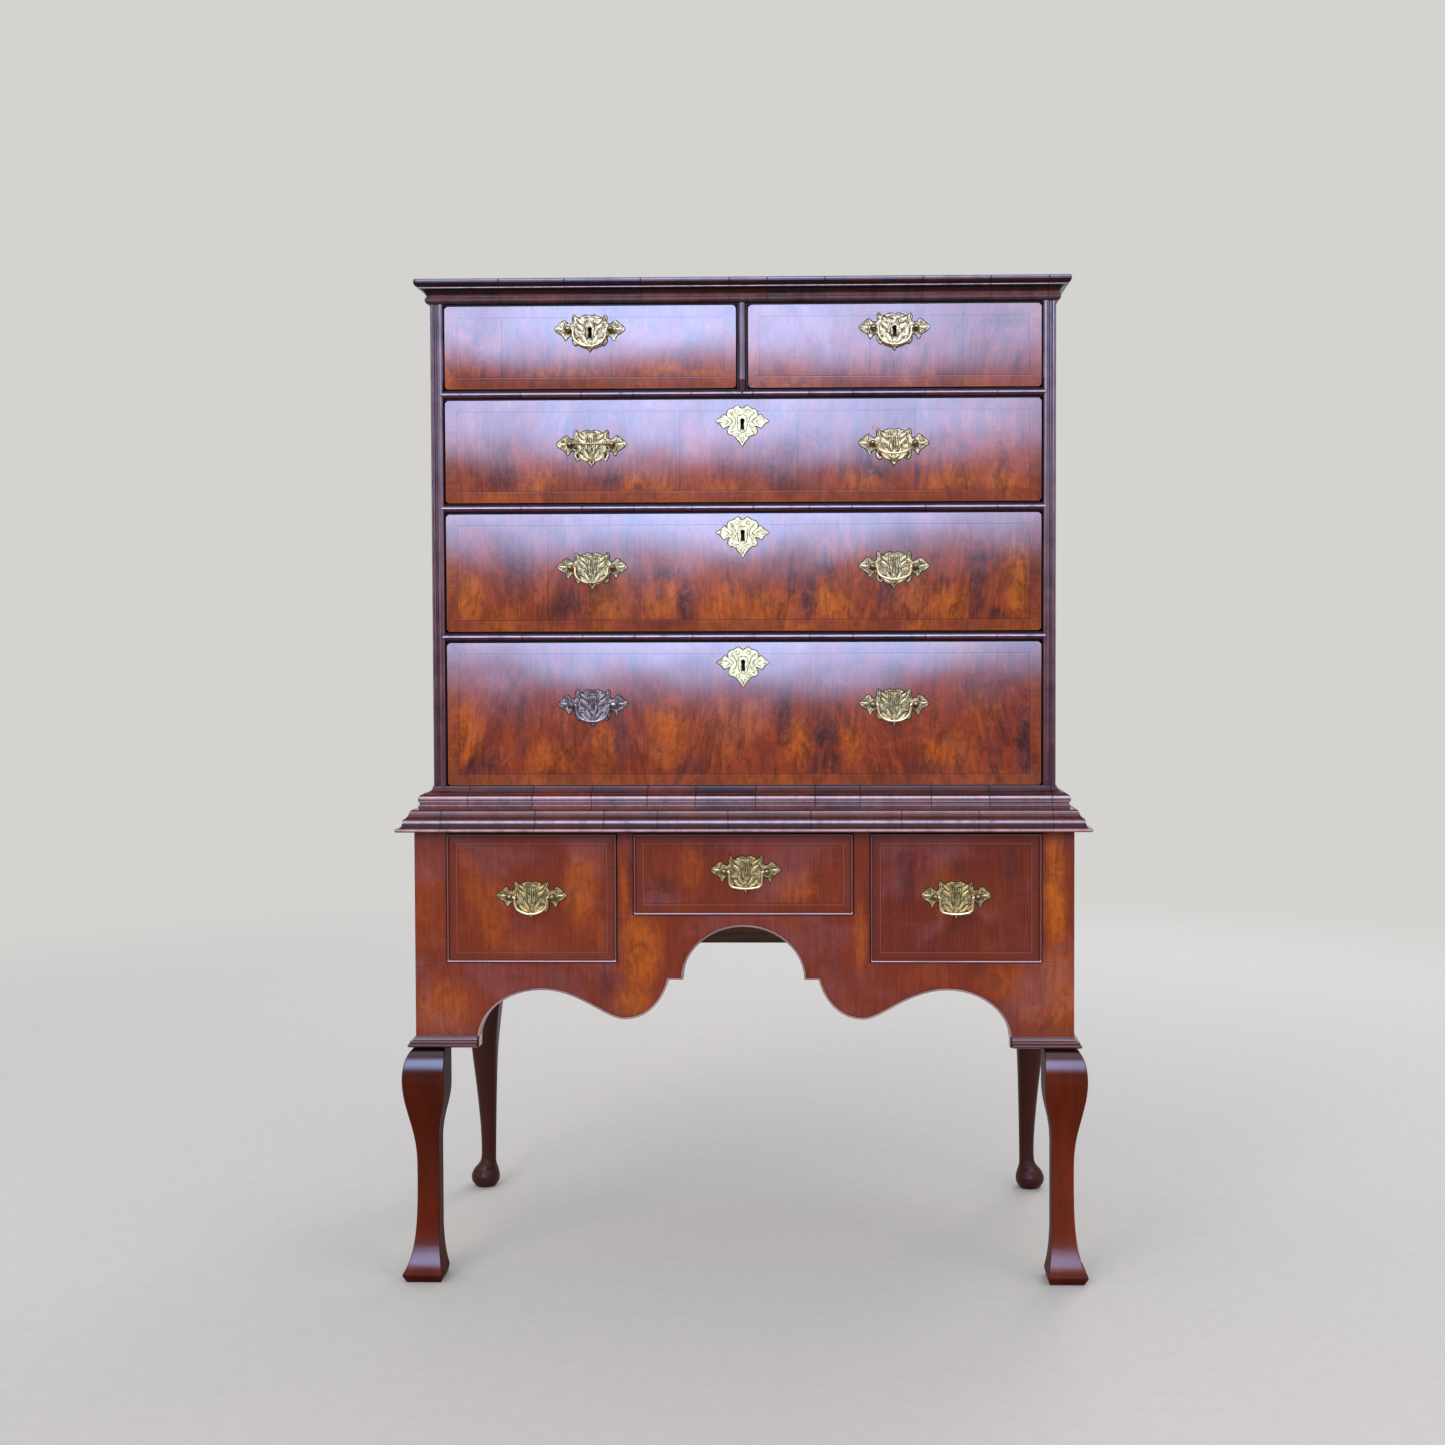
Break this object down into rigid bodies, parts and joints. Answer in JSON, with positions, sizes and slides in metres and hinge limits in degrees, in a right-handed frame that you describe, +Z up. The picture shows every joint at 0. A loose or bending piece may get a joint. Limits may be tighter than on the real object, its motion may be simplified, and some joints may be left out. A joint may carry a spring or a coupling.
{
  "type": "chest on stand",
  "caption": "Tall walnut chest of drawers on a cabriole-legged stand, with a shaped apron, moulded cornice and brass drop handles.",
  "frame": {"origin": "on the floor, in the middle of the outer width and depth", "axes": "+Z up, the front faces -Y, +X to the viewer's right"},
  "size_m": [1.044, 0.545, 1.513],
  "materials": {
    "figured_walnut": "french polished figured walnut veneer",
    "plum_walnut": "polished dark cross-grain walnut",
    "side_walnut": "polished walnut",
    "red_walnut": "polished red-brown walnut",
    "oak": "dry planed oak",
    "brass": "aged engraved brass with dark patina",
    "iron": "dull wrought iron"
  },
  "bodies": {
    "carcass": {"cornice": "plum_walnut", "case_side_left": "side_walnut", "case_side_right": "side_walnut", "case_back": "oak", "case_rails": "side_walnut", "case_boards": "oak", "front_beads": "plum_walnut", "case_base_moulding": "plum_walnut", "stand_top": "side_walnut", "waist_moulding": "plum_walnut", "stand_sides": "red_walnut", "stand_back": "oak", "stand_frame": "red_walnut", "stand_runners": "oak", "apron": "red_walnut", "apron_trim": "plum_walnut", "leg_front_left": "red_walnut", "leg_front_right": "red_walnut", "leg_back_left": "red_walnut", "leg_back_right": "red_walnut"},
    "top_left_drawer": {"top_left_front": "figured_walnut", "top_left_box": "oak", "top_left_brasses": "brass", "top_left_lock": "iron"},
    "top_right_drawer": {"top_right_front": "figured_walnut", "top_right_box": "oak", "top_right_brasses": "brass", "top_right_lock": "iron"},
    "second_drawer": {"second_front": "figured_walnut", "second_box": "oak", "second_brasses": "brass", "second_lock": "iron"},
    "third_drawer": {"third_front": "figured_walnut", "third_box": "oak", "third_brasses": "brass", "third_lock": "iron"},
    "bottom_drawer": {"bottom_front": "figured_walnut", "bottom_box": "oak", "bottom_brasses": "brass", "bottom_lock": "iron"},
    "stand_left_drawer": {"stand_left_front": "figured_walnut", "stand_left_box": "oak", "stand_left_brasses": "brass"},
    "stand_centre_drawer": {"stand_centre_front": "figured_walnut", "stand_centre_box": "oak", "stand_centre_brasses": "brass"},
    "stand_right_drawer": {"stand_right_front": "figured_walnut", "stand_right_box": "oak", "stand_right_brasses": "brass"},
    "top_left_bail": {"top_left_bail": "brass"},
    "top_right_bail": {"top_right_bail": "brass"},
    "second_bail_left": {"second_bail_left": "brass"},
    "second_bail_right": {"second_bail_right": "brass"},
    "third_bail_left": {"third_bail_left": "brass"},
    "third_bail_right": {"third_bail_right": "brass"},
    "bottom_bail_left": {"bottom_bail_left": "brass"},
    "bottom_bail_right": {"bottom_bail_right": "brass"},
    "stand_left_bail": {"stand_left_bail": "brass"},
    "stand_centre_bail": {"stand_centre_bail": "brass"},
    "stand_right_bail": {"stand_right_bail": "brass"}
  },
  "joints": [
    {"name": "top_left_drawer_slide", "type": "slide", "parent": "carcass", "child": "top_left_drawer", "axis": [0, -1, 0], "range_m": [0, 0.36]},
    {"name": "top_right_drawer_slide", "type": "slide", "parent": "carcass", "child": "top_right_drawer", "axis": [0, -1, 0], "range_m": [0, 0.36]},
    {"name": "second_drawer_slide", "type": "slide", "parent": "carcass", "child": "second_drawer", "axis": [0, -1, 0], "range_m": [0, 0.36]},
    {"name": "third_drawer_slide", "type": "slide", "parent": "carcass", "child": "third_drawer", "axis": [0, -1, 0], "range_m": [0, 0.36]},
    {"name": "bottom_drawer_slide", "type": "slide", "parent": "carcass", "child": "bottom_drawer", "axis": [0, -1, 0], "range_m": [0, 0.36]},
    {"name": "stand_left_drawer_slide", "type": "slide", "parent": "carcass", "child": "stand_left_drawer", "axis": [0, -1, 0], "range_m": [0, 0.36]},
    {"name": "stand_centre_drawer_slide", "type": "slide", "parent": "carcass", "child": "stand_centre_drawer", "axis": [0, -1, 0], "range_m": [0, 0.36]},
    {"name": "stand_right_drawer_slide", "type": "slide", "parent": "carcass", "child": "stand_right_drawer", "axis": [0, -1, 0], "range_m": [0, 0.36]},
    {"name": "top_left_bail_hinge", "type": "hinge", "parent": "top_left_drawer", "child": "top_left_bail", "pos_m": [-0.2295, -0.2345, 1.4375], "axis": [-1, 0, 0], "range_deg": [-14, 165]},
    {"name": "top_right_bail_hinge", "type": "hinge", "parent": "top_right_drawer", "child": "top_right_bail", "pos_m": [0.2295, -0.2345, 1.4375], "axis": [-1, 0, 0], "range_deg": [-14, 165]},
    {"name": "second_bail_left_hinge", "type": "hinge", "parent": "second_drawer", "child": "second_bail_left", "pos_m": [-0.228, -0.2345, 1.2645], "axis": [-1, 0, 0], "range_deg": [-100, 79]},
    {"name": "second_bail_right_hinge", "type": "hinge", "parent": "second_drawer", "child": "second_bail_right", "pos_m": [0.228, -0.2345, 1.2645], "axis": [-1, 0, 0], "range_deg": [-62, 117]},
    {"name": "third_bail_left_hinge", "type": "hinge", "parent": "third_drawer", "child": "third_bail_left", "pos_m": [-0.228, -0.2345, 1.0795], "axis": [-1, 0, 0], "range_deg": [-39, 140]},
    {"name": "third_bail_right_hinge", "type": "hinge", "parent": "third_drawer", "child": "third_bail_right", "pos_m": [0.228, -0.2345, 1.0795], "axis": [-1, 0, 0], "range_deg": [-54, 125]},
    {"name": "bottom_bail_left_hinge", "type": "hinge", "parent": "bottom_drawer", "child": "bottom_bail_left", "pos_m": [-0.228, -0.2345, 0.8725], "axis": [-1, 0, 0], "range_deg": [-14, 165]},
    {"name": "bottom_bail_right_hinge", "type": "hinge", "parent": "bottom_drawer", "child": "bottom_bail_right", "pos_m": [0.228, -0.2345, 0.8725], "axis": [-1, 0, 0], "range_deg": [-14, 165]},
    {"name": "stand_left_bail_hinge", "type": "hinge", "parent": "stand_left_drawer", "child": "stand_left_bail", "pos_m": [-0.31975, -0.258, 0.584], "axis": [-1, 0, 0], "range_deg": [-14, 165]},
    {"name": "stand_centre_bail_hinge", "type": "hinge", "parent": "stand_centre_drawer", "child": "stand_centre_bail", "pos_m": [0.004, -0.258, 0.6225], "axis": [-1, 0, 0], "range_deg": [-14, 165]},
    {"name": "stand_right_bail_hinge", "type": "hinge", "parent": "stand_right_drawer", "child": "stand_right_bail", "pos_m": [0.31975, -0.258, 0.584], "axis": [-1, 0, 0], "range_deg": [-14, 165]}
  ]
}
